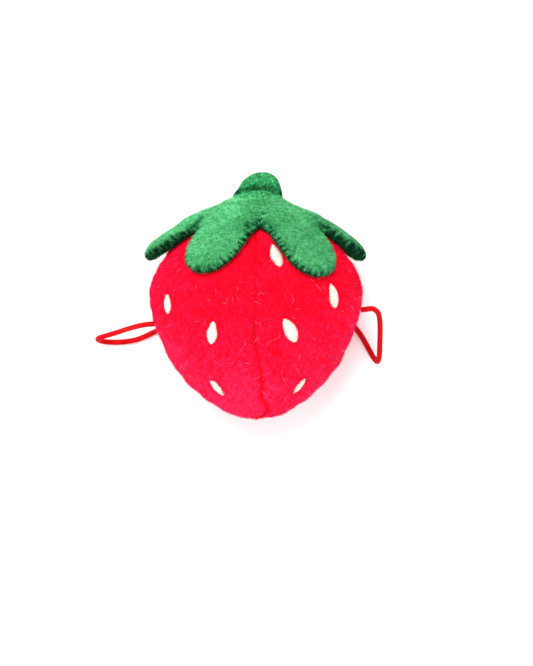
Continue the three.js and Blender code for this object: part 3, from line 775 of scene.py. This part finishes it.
def make_gore(name, start):
    """One gore: its outer face, its edges folded down into the seams, and its inner face."""
    u = mix(U_TOP, U_TIP, np.linspace(0, 1, GORE_ROWS))
    radius, _ = outline_at(u)
    edge = np.minimum(GORE_GAP / (DEPTH_RATIO * radius), 0.35)
    share = (1 - np.cos(np.linspace(0, math.pi, GORE_COLS))) / 2
    share = mix(share, np.linspace(0, 1, GORE_COLS), 0.45)
    begin = math.radians(start)
    azimuth = begin + mix(edge[:, None], math.pi / 2 - edge[:, None], share[None, :])
    rows = np.broadcast_to(u[:, None], azimuth.shape)
    high = plush_height(rows, azimuth) + stuffed(rows, azimuth)
    sewn = drifted(rows, azimuth)
    outer = over(rows, sewn, high)
    raise_to(outer, 0)
    last, first = (over(u, sewn[:, k], high[:, k] - TURN_IN) for k in (-1, 0))
    inner = over(rows, sewn, np.minimum(high, -SEAM_DEPTH) - GORE_THICK)[:, ::-1]
    raise_to(inner, 0.8)
    loops = np.concatenate([outer, last[:, None], inner, first[:, None]], axis=1)
    verts, faces = loft(loops)
    piece = make_object(f"plush_{name}", verts, faces, red_cloth)
    declare(piece, "red_plush", f"panel_{name}")
    return outer


# --- Pile ---

def scatter(grid, count, rng):
    """Points spread evenly over a grid of points, with their outward directions."""
    rows, cols, _ = grid.shape
    quads = grid_quads(rows, cols)
    flat = grid.reshape(-1, 3)
    triangles = np.vstack([quads[:, [0, 1, 2]], quads[:, [0, 2, 3]]])
    a, b, c = (flat[triangles[:, k]] for k in range(3))
    cross = np.cross(b - a, c - a)
    normals = np.zeros_like(flat)
    for k in range(3):
        np.add.at(normals, triangles[:, k], cross)
    normals = unit(normals)
    size = np.linalg.norm(cross, axis=1)
    pick = rng.choice(len(triangles), count, p=size / size.sum())
    r, s = np.sqrt(rng.random(count)), rng.random(count)
    weights = np.stack([1 - r, r * (1 - s), r * s], -1)
    chosen = triangles[pick]
    points = (flat[chosen] * weights[..., None]).sum(1)
    ways = unit((normals[chosen] * weights[..., None]).sum(1))
    return points, ways


ROOT_DEPTH = 0.12  # the fibres start this deep in the cloth
LEAST_STAND = 0.18  # the least that a fibre stands off the cloth for its length


def make_pile(name, points, normals, comb, length, lay, shades, tone, rng):
    """Short tapered fibres on a plush. tone, from 0 to 1, picks their shades.

    lay is how far they lie along comb, how far their ways spread, and their width at the root.
    """
    lie, spread, width = lay
    count = len(points)
    size = length * rng.uniform(0.7, 1.25, count)
    way = normals * (1 - lie) + comb * lie + spread * rng.normal(size=(count, 3))
    low = (way * normals).sum(1, keepdims=True)
    way = unit(way + normals * np.maximum(LEAST_STAND - low, 0))
    side = unit(np.cross(way, normals + 0.01 * rng.normal(size=(count, 3))))
    other = np.cross(way, side)
    root = points - normals * ROOT_DEPTH
    angle = rng.uniform(0, TAU, count)
    corners = [root + width * turned(side, other, angle + TAU * k / 3) for k in range(3)]
    verts = np.stack([*corners, root + way * size[:, None]], 1)
    raise_to(verts, 0)
    first = 4 * np.arange(count)[:, None, None]
    shape = np.array([[0, 1, 3], [1, 2, 3], [2, 0, 3], [2, 1, 0]])
    triangles = (first + shape[None]).reshape(-1, 3)
    pick = np.clip((tone * len(shades)).astype(int), 0, len(shades) - 1)
    return triangle_object(name, verts.reshape(-1, 3), triangles, shades, np.repeat(pick, 4))


STROKE_LENGTHS = (0.95, 1.25, 1.7, 2.6)


def sewn_edge(points, border, width, number):
    """How near each point is to a sewn edge, the way to that edge, and the strokes along it."""
    line, along = even_points(border, 260)
    nearest = np.empty(len(points), int)
    for start in range(0, len(points), 4000):
        part = slice(start, start + 4000)
        nearest[part] = ((points[part, None] - line[None]) ** 2).sum(-1).argmin(1)
    away = line[nearest] - points
    place = along[nearest]
    near = bell(np.linalg.norm(away, axis=1), width)
    rng = np.random.default_rng(number)
    strokes = sum(
        np.sin(TAU * place / length + start)
        for length, start in zip(STROKE_LENGTHS, rng.uniform(0, TAU, 4))
    ) / 1.6
    return near, unit(away), strokes


def strands(points, centre, across, along, number):
    """Streaks that run out from a centre line, across wide and along long."""
    away = points - centre
    turn = np.arctan2(away[:, 0], away[:, 2] / DEPTH_RATIO)
    reach = np.linalg.norm(away, axis=1)
    bend = ripples(points, 7, number)
    field = np.stack([turn * 22 + 0.8 * bend, reach * across / along, 0.3 * points[:, 1]], -1)
    return ripples(field, across, number + 1, waves=30)


def combed(points, normals, away, swirl):
    """The way the nap lies: along away, turned aside by a slow swirl."""
    flat = unit(away - normals * (away * normals).sum(1, keepdims=True))
    return turned(flat, np.cross(normals, flat), swirl)


RED_FIBRES = 46000
RED_LENGTH = 1.15
RED_LAY = (0.66, 0.26, 0.07)
CALYX_COVER = 25.8  # no pile above this height, where the calyx covers the berry


def make_red_pile(name, grid, seed_number):
    """Red pile: deeper and warmer toward the stem, in painted shade, pinker toward the tip, in painted
    light, pinker at the sides, a painted sheen, and darker along the seams, in painted shade; with a few
    long stray fibres.
    """
    rng = np.random.default_rng(seed_number)
    points, normals = scatter(grid, int(RED_FIBRES * 1.25), rng)
    keep = points[:, 1] < CALYX_COVER
    for seed in seeds:
        keep &= seed.nearness(points) > 0.9
    points, normals = points[keep][:RED_FIBRES], normals[keep][:RED_FIBRES]
    swirl = 1.3 * ripples(points, 26, 21) + 0.5 * ripples(points, 7, 22)
    comb = combed(points, normals, np.array([0, -1.0, 0]), swirl)
    seam = 0
    for border in (grid[:, 0], grid[:, -1]):
        near, way, _ = sewn_edge(points, border, 0.7, seed_number)
        comb = unit(mix(comb, way, 0.8 * near[:, None]))
        seam += sewn_edge(points, border, 0.8, seed_number)[0]
    # Painted light: deeper and warmer toward the stem (low) and pinker toward the tip, and pinker at the
    # sides (rim), a painted sheen; the ripples are the plush's own uneven tone.
    low = ramp(-points[:, 1], -6, 38)
    rim = ramp(np.abs(points[:, 0]), 16, 34) * (1 - 0.6 * low)
    tone = 0.2 + 0.45 * low + 0.2 * rim + 0.07 * ripples(points, 22, 23)
    tone += 0.1 * ripples(points, 2.4, 24) + 0.1 * ripples(points, 1.0, 25, waves=24)
    # Painted shade along the seams, deeper toward the tip.
    seam_painted_shade = 0.25 + 0.3 * ramp(-points[:, 1], 14, 24)
    tone = tone + rng.normal(0, 0.17, len(points)) - seam_painted_shade * seam
    stray = (rng.random(len(points)) < 0.0012 + 0.006 * seam) & (points[:, 1] < 12)
    length = np.where(stray, rng.uniform(2.2, 3.6, len(points)), RED_LENGTH)
    tone = np.where(stray, 0.99, np.clip(tone, 0, 0.8))
    shades = [*RED_SHADES, red_stray]
    pile = make_pile(f"pile_{name}", points, normals, comb, length, RED_LAY, shades, tone, rng)
    declare(pile, "red_plush")


gore_grids = {name: make_gore(name, start) for name, start in GORES.items()}
for number, (name, grid) in enumerate(gore_grids.items()):
    make_red_pile(name, grid, 100 + number)


# --- Seeds ---

def stitch(line, radius, sides=6):
    """The points and faces of one length of thread."""
    return loft(tube_loops(line, radius, sides))


def sewn_on(parts, node, material, slot):
    """All the stitches of one CAD node, as one piece that replaces it."""
    faces, count = [], 0
    for points, stitch_faces in parts:
        faces += [[k + count for k in face] for face in stitch_faces]
        count += len(points)
    verts = np.vstack([points for points, _ in parts])
    raise_to(verts, 0.02)
    declare(make_object(f"stitched_{node}", verts, faces, material), slot, node)


SEED_STITCHES = 23
SEED_CROWN = 1.05  # the middle of a stitch stands this far over its sunken ends
SEED_SUNK = 0.6
SEED_THREAD = 0.24


def make_seed(seed, number):
    """Satin stitches side by side across the seed, crowned at the middle and sunk at their ends."""
    seed.rise = float(stuffed(np.array(seed.u), np.array(seed.azimuth)))
    rng = np.random.default_rng(500 + number)
    parts = []
    for k in range(SEED_STITCHES):
        s = mix(-0.985, 0.985, k / (SEED_STITCHES - 1))
        half = max(float(seed.half_width(np.array(s))), 0.32) + rng.uniform(-0.08, 0.12)
        t = np.linspace(-1, 1, 13)
        crown = (1 - np.abs(t) ** 2.6) * mix(0.35, 1.0, min(1, half / 1.8))
        along = s * seed.half_length + rng.uniform(-0.05, 0.05) + 0.1 * t * rng.uniform(-1, 1)
        parts.append(stitch(seed.point(along, t * half, SEED_CROWN * crown - SEED_SUNK), SEED_THREAD, 8))
    sewn_on(parts, seed.node, satin_thread, "seed_embroidery")


for number, seed in enumerate(seeds):
    make_seed(seed, number)


# --- Seams ---

SEAM_STITCH = 2.0
SEAM_PITCH = 2.45
SEAM_SUNK = 1.35
SEAM_THREAD = 0.15
BAR_THREAD = 0.16


def make_seam(node, azimuth, low_y, high_y, number, closing=False):
    """Short stitches deep in a seam. closing adds bars over it, where the stuffing hole was sewn shut."""
    rng = np.random.default_rng(700 + number)
    parts = []
    y = high_y
    while y > low_y + 2.2:
        span = u_at_height(np.linspace(y, y - SEAM_STITCH, 6))
        hump = np.sin(np.linspace(0, math.pi, 6))
        turn = drifted(span, azimuth + 0.004 * rng.normal())
        parts.append(stitch(over(span, turn, 0.3 * hump - SEAM_SUNK), SEAM_THREAD))
        y -= SEAM_PITCH
    if closing:
        for y in np.linspace(-9.5, -16.5, 6):
            t = np.linspace(-1, 1, 9)
            slope = rng.choice([-1, 1]) * rng.uniform(0.5, 1.1)
            wide = rng.uniform(0.4, 0.9)
            span = u_at_height(y + slope * t)
            turn = drifted(span, azimuth + t * wide / outline_at(span)[0])
            parts.append(stitch(over(span, turn, 0.05 - 0.9 * np.abs(t) ** 3), BAR_THREAD))
    sewn_on(parts, node, red_thread, "seam_thread")


SEAM_TOP = 28.4
SEAM_TIP = -41.3
make_seam("seam_thread_front", 0, SEAM_TIP, SEAM_TOP, 0, closing=True)
make_seam("seam_thread_back", math.pi, SEAM_TIP, SEAM_TOP, 1)
# The strap's ends part the side seams at these heights.
for number, (side, turn, y) in enumerate([("left", 270, -9.4), ("right", 90, -4.7)]):
    make_seam(f"seam_thread_{side}_upper", math.radians(turn), y + 1.6, SEAM_TOP, 2 + number)
    make_seam(f"seam_thread_{side}_lower", math.radians(turn), SEAM_TIP, y - 1.6, 4 + number)


# --- Calyx ---

LEAF_COUNT = 6
LEAF_TURN = -26  # degrees from the front to the middle of the first leaf
CROTCH_FRONT = 18.3  # distance from the axis of a corner between two leaves, at the front or back
CROTCH_SIDE = 22.5  # the same at the sides
CALYX_SPREAD = 0.85
LEAF_ROOT_HALF = 9.6  # half a leaf's width at its root and at its end
LEAF_END_HALF = 7.8
LEAF_ROUND = 8
LEAF_NECK = 0.1
SECTOR = math.pi / LEAF_COUNT
MID_LAYER = LAYER_START + LEAF_LAYER + LAYER_GAP / 2
# Name, place round the axis, how far the tip stands off, length from the axis, sway of the tip.
LEAVES = [
    ("front_left", 0, 0.6, 37.9, -2.9),
    ("front_right", 1, 0.6, 40.2, 1.5),
    ("side_right", 2, 2.4, 39.5, 0),
    ("back_right", 3, 0.0, 35, 0),
    ("back_left", 4, 0.0, 35, 0),
    ("side_left", 5, 2.4, 39.5, 0),
]


def gathered(turn):
    """The calyx is cut even, and its leaves gather toward the front and the back."""
    whole = TAU * math.floor((turn + math.pi) / TAU)
    return whole + math.atan2(CALYX_SPREAD * math.sin(turn), math.cos(turn))


def leaf_place(place):
    """A leaf's middle azimuth, half the angle between its corners, and the line of its fold."""
    turn = math.radians(LEAF_TURN) + place * 2 * SECTOR
    begin, end = gathered(turn - SECTOR), gathered(turn + SECTOR)
    first, second = (mix(CROTCH_FRONT, CROTCH_SIDE, math.sin(a) ** 2) for a in (begin, end))

    def fold_at(azimuth):
        return first * second * math.sin(end - begin) / (
            first * np.sin(azimuth - begin) + second * np.sin(end - azimuth)
        )

    return (begin + end) / 2, (end - begin) / 2, fold_at


def calyx_noise(points, pressed):
    """Gentle unevenness of the plush leaves; less where they are pressed against the table."""
    return (0.22 * ripples(points, 11, 31) + 0.1 * ripples(points, 4.5, 32)) * pressed


def layer_height(side, full):
    """Height of a layer's outer face above the berry where its thickness is this share of full."""
    return MID_LAYER + side * (0.03 + (LEAF_LAYER + LAYER_GAP / 2 - 0.03) * full)


PILE_ROOM = 1.1  # the cloth ends this far inside the leaf's outline, and its pile fills the rest
LEAF_ROWS = 34
LEAF_COLS = 27


def leaf_grids(place, stand_off, tip, sway, side):
    """Outer and inner faces of one layer of one leaf."""
    middle, sector, fold_at = leaf_place(place)
    # A standing leaf's under layer is made wider, so its darker colour shows round the edge as a painted
    # shadow.
    rim = 0.3 if side < 0 and stand_off > 0 else 0
    tip = tip + rim - PILE_ROOM
    table_u = np.linspace(0, 0.6, 400)
    lengths = run_along(surface(table_u, middle))
    fold_u = float(u_at_radius(fold_at(middle)))
    fold = float(np.interp(fold_u, table_u, lengths))
    out = np.sin(0.5 * math.pi * np.linspace(0, 1, LEAF_ROWS) * 0.985)[:, None]
    length = mix(fold, tip, out)
    u = np.interp(length, lengths, table_u)
    radius, _ = outline_at(u)
    rounded = np.maximum(0, (length - tip + LEAF_ROUND) / LEAF_ROUND)
    neck = 1 + LEAF_NECK * np.exp(-(length - fold) / 3)
    share = np.clip((length - fold) / (tip - fold), 0, 1)
    half = (mix(LEAF_ROOT_HALF, LEAF_END_HALF, share) + rim) * neck * np.sqrt(1 - rounded**2)
    step = 0.01
    speed = np.linalg.norm(surface(u, middle + step) - surface(u, middle), axis=-1) / step
    reach = np.minimum(sector, half / speed)
    lift = stand_off * share**3
    t = np.sin(0.5 * math.pi * np.linspace(-1, 1, LEAF_COLS))[None, :]
    straight = (u_at_radius(fold_at(middle + reach * t)) - fold_u) * (1 - out) ** 2
    rounding = ramp(out, 0, 0.3)
    power, root = mix(14, 3.6, rounding), mix(7, 2.1, rounding)
    full = np.maximum(1 - np.abs(t) ** power, 0) ** (1 / root) * (1 - 0.93 * rounded**5) ** 0.5
    full = np.maximum(full, 0.02)
    rows, azimuth = u + straight, middle + sway * share**1.5 / speed + t * reach
    pressed = 0.2 if stand_off == 0 else 1.0
    wave = calyx_noise(surface(rows, azimuth), pressed) * ramp(out, 0, 0.15)
    outer = over(rows, azimuth, layer_height(side, full) + lift + wave)
    inner = over(rows, azimuth, layer_height(side, 0) + lift + wave)
    return outer, inner


# Side, slot, cloth, and the pile's shades, level of tone and fibres to a leaf, of the calyx's layers. The
# under layer's darker cloth, shades and level are painted shade.
LAYERS = {
    "under": (-1, "green_plush_under", green_under_cloth_painted_shade, GREEN_UNDER_PAINTED_SHADES, 0.3, 13000),
    "upper": (1, "green_plush", green_cloth, GREEN_SHADES, 0.66, 26000),
}
HUB_HOLE = 0.4  # radius of the hole for the thread that ties the calyx on
HUB_RISE = 1.3  # the upper layer comes up this far to the foot of the stem
HUB_RINGS = 26
HUB_COLS = 26  # to each leaf


def hub_grids(side):
    """Outer and inner faces of the middle of the calyx, out to the leaves' folds."""
    share = np.linspace(0, 1, HUB_RINGS)[:, None]
    azimuths, edges = [], []
    for place in range(LEAF_COUNT):
        middle, half, fold_at = leaf_place(place)
        t = np.sin(0.5 * math.pi * np.linspace(-1, 1, HUB_COLS + 1))[:-1]
        azimuths.append(middle + t * half)
        edges.append(fold_at(middle + t * half))
    azimuth = np.concatenate(azimuths)
    radius = mix(HUB_HOLE, np.concatenate(edges), share)
    rows = u_at_radius(radius)
    wave = calyx_noise(surface(rows, azimuth), 1.0) * ramp(1 - share, 0, 0.2)
    rise = (side > 0) * HUB_RISE * bell(np.maximum(radius - 7.2, 0), 2.8)
    outer = over(rows, azimuth, layer_height(side, 1) + wave + rise)
    inner = over(rows, azimuth, layer_height(side, 0) + wave)
    return outer, inner


def make_hub(layer):
    """One layer of the hub: a ring between two grids whose last columns join their first."""
    side, slot, material = LAYERS[layer][:3]
    outer, inner = hub_grids(side)
    loops = np.concatenate([outer, inner[::-1]], axis=0).transpose(1, 0, 2)
    rows, cols, _ = loops.shape
    faces = grid_quads(rows, cols, wrap=True, ring=True)
    walls = np.isin(faces[:, 0] % cols, [outer.shape[0] - 1, cols - 1])
    name = f"calyx_hub_{layer}"
    piece = make_object(f"plush_{name}", loops.reshape(-1, 3), faces, material, flat=walls)
    declare(piece, slot, name)
    return outer


GREEN_SPREAD = 0.17
GREEN_WIDTH = 0.095
EDGE_WIDTH = 1.4
EDGE_PAINTED_SHADE = 0.9  # painted shade: how much darker an edge is made where it faces toward the tip, away from the light
FREE_EDGE_PAINTED_SHADE = 1.5  # the same painted shade for a leaf that stands off the berry
CORNER_WIDTH = 2.6  # the pile is short, and darkened with painted shade, this near the corners between leaves
BRUSHED_FROM = np.array([0, 30, AXIS_HEIGHT])  # the pile is brushed away from here


def make_green_pile(name, grid, count, number, shades, level, length=1.7, lie=0.7, keep=None,
                    border=None, edge_painted_shade=EDGE_PAINTED_SHADE, corners=None, shade=None):
    """Green pile. A sewn edge is darkened with painted shade: dark gaps between its strokes, and more
    darkening where it faces toward the tip, away from the light.
    """
    rng = np.random.default_rng(number)
    points, normals = scatter(grid, count, rng)
    if keep is not None:
        wanted = keep(points)
        points, normals = points[wanted], normals[wanted]
    clumps = 0.55 * ripples(points, 1.4, 43, waves=24)
    clumps += 0.8 * strands(points, BRUSHED_FROM, 0.85, 3.0, 47)
    swirl = 0.6 * ripples(points, 15, 41) + 0.35 * ripples(points, 5, 42)
    swirl += 0.45 * ripples(points, 1.7, 45)
    comb = combed(points, normals, unit(points - BRUSHED_FROM), swirl)
    tone = level + 0.13 * clumps + 0.06 * ripples(points, 8, 44)
    if border is not None:
        near, way, strokes = sewn_edge(points, border, EDGE_WIDTH, number)
        comb = unit(mix(comb, way, near[:, None]))
        # Painted shade: the edge is darkened, most where it faces toward the tip, away from the light, and
        # its strokes get dark gaps.
        painted_shade_side = np.clip(0.55 * way[:, 2] - way[:, 1] + 0.2, 0, 1)
        tone += near * ((0.6 + 0.5 * painted_shade_side) * strokes - 0.3 - edge_painted_shade * painted_shade_side)
        length *= 1 - 0.35 * near
    if corners is not None:
        apart = np.linalg.norm(points[:, None] - corners[None], axis=-1).min(1)
        near = bell(apart, CORNER_WIDTH)
        length *= 1 - 0.75 * near
        # Painted shade in the corners between leaves.
        tone -= 0.6 * near
    if shade is not None:
        tone += shade(points)
    tone += rng.normal(0, 0.25, len(points))
    tone = (tone * (len(shades) - 1) + 1) / len(shades)  # the first shade, a near-black painted shade, is only for the darkest gaps
    lay = (lie, GREEN_SPREAD, GREEN_WIDTH)
    return make_pile(name, points, normals, comb, length, lay, shades, tone, rng)


def make_leaf(layer, leaf, place, stand_off, tip, sway):
    """One layer of one leaf, with its pile."""
    side, slot, material, shades, level, count = LAYERS[layer]
    outer, inner = leaf_grids(place, stand_off, tip, sway, side)
    raise_to(outer, 0.05)
    raise_to(inner, 0.05)
    verts, faces, walls = plate(outer, inner) if side > 0 else plate(inner, outer)
    name = f"leaf_{leaf}_{layer}"
    piece = make_object(f"plush_{name}", verts, faces, material, flat=walls)
    declare(piece, slot, name, leaf=leaf)
    grid = outer if side > 0 else outer[:, ::-1]
    border = np.vstack([outer[:, 0], outer[-1], outer[::-1, -1]])
    pile = make_green_pile(
        f"pile_{name}", grid, count, 200 + 2 * place + (side > 0), shades, level,
        border=border, edge_painted_shade=FREE_EDGE_PAINTED_SHADE if stand_off > 1 else EDGE_PAINTED_SHADE,
        corners=outer[5, [0, -1]],
    )
    declare(pile, slot, leaf=leaf)


for facts in LEAVES:
    for layer in LAYERS:
        make_leaf(layer, *facts)

make_hub("under")
hub_grid = make_hub("upper")
STEM_COVER = 6.2  # the stem hides the hub inside this radius
hub_pile = make_green_pile(
    "pile_calyx_hub", closed(hub_grid), count=30000, number=230, shades=GREEN_SHADES, level=0.71,
    keep=lambda p: np.hypot(p[:, 0], (p[:, 2] - AXIS_HEIGHT) / DEPTH_RATIO) > STEM_COVER,
    corners=hub_grid[-1, ::HUB_COLS],
)
declare(hub_pile, "green_plush")


# --- Stem ---

STEM_HEIGHT = 10.1
STEM_LEAN = 2.2
NUB_RADIUS = 7.5
CREASE_IN = 0.75  # how far the crease round the nub goes in
STEM_FOOT = OUTLINE[0, 1] + LAST_LAYER


def crease_height(angle):
    """Height over the foot of the crease round the nub: highest at the front."""
    return 2.2 + 1.9 * np.maximum(0, np.cos(angle)) + 0.25 * np.sin(3 * angle + 1)


def make_stem():
    """The cloth of the calyx rises to a crease, and the stuffed nub stands over it."""
    sides, rows = 56, 44
    share = 1 - np.linspace(0, 1, rows) ** 1.5
    height = (STEM_HEIGHT * share)[:, None]
    angle = TAU * np.arange(sides)[None, :] / sides
    beside = np.sin(angle) ** 2
    radius = NUB_RADIUS * np.sqrt(np.maximum(1 - 0.985 * share**3.2, 0))[:, None]
    radius = radius + (1.9 + 0.9 * beside) * np.exp(-height / (1.3 + 0.8 * beside))
    crease = crease_height(angle)
    fold = (1 - 0.8 * beside) * np.minimum(1, radius / 4)
    radius = radius - CREASE_IN * bell(height - crease, 0.5) * fold
    radius = radius + 0.3 * bell(height - crease - 1.6, 1.1) * fold
    seat = over(u_at_radius(np.maximum(radius, 0.2)), angle, LAST_LAYER - 0.35)
    x = radius * np.sin(angle) + STEM_LEAN * height / STEM_HEIGHT
    z = AXIS_HEIGHT + DEPTH_RATIO * radius * np.cos(angle)
    loops = np.stack([x, seat[..., 1] + height + 0.35 * ramp(height, 0, 3), z], -1)
    lumps = 0.2 * ripples(loops, 6, 51) * np.minimum(1, radius / 4)
    loops = loops + unit(loops - loops.mean(1, keepdims=True)) * lumps[..., None]
    verts, faces = loft(loops)
    piece = make_object("plush_stem", verts, faces, green_cloth)
    declare(piece, "green_plush", "stem_cover")

    def shade(points):
        """Darker over the crease, and darkest in it, where painted shade fills the crease."""
        turn = np.arctan2(points[:, 0] - 1, (points[:, 2] - AXIS_HEIGHT) / DEPTH_RATIO)
        rise = points[:, 1] - STEM_FOOT - crease_height(turn)
        # Painted shade in the crease.
        deep = 0.55 * bell(rise - 0.3, 0.9)
        return (
            0.16 * ripples(points, 1.3, 48) - 0.2 * ramp(rise, -0.3, 0.6) - deep
            - 0.1 * ramp(-rise, -4, -1)
        )

    pile = make_green_pile(
        "pile_stem", closed(loops)[:, ::-1], count=14000, number=240, shades=GREEN_SHADES, level=0.56,
        length=1.3, lie=0.55, shade=shade,
    )
    declare(pile, "green_plush")


make_stem()

for node, material in CAD_FINISH.items():
    shown = frame["nodes"][node]
    shown.data.materials.clear()
    shown.data.materials.append(material)


# --- Floor ---

FLOOR_HALF = 3000
paper = mottled(
    "floor_paper", (0.93, 0.93, 0.93), (0.94, 0.94, 0.94), (0.95, 0.95, 0.95), 30,
    rough=0.9, bump=0.05, specular=0.1,
)
corners = FLOOR_HALF * np.array([(-1, -1, 0), (1, -1, 0), (1, 1, 0), (-1, 1, 0)], float)
make_object("floor", corners, [[0, 1, 2, 3]], paper)
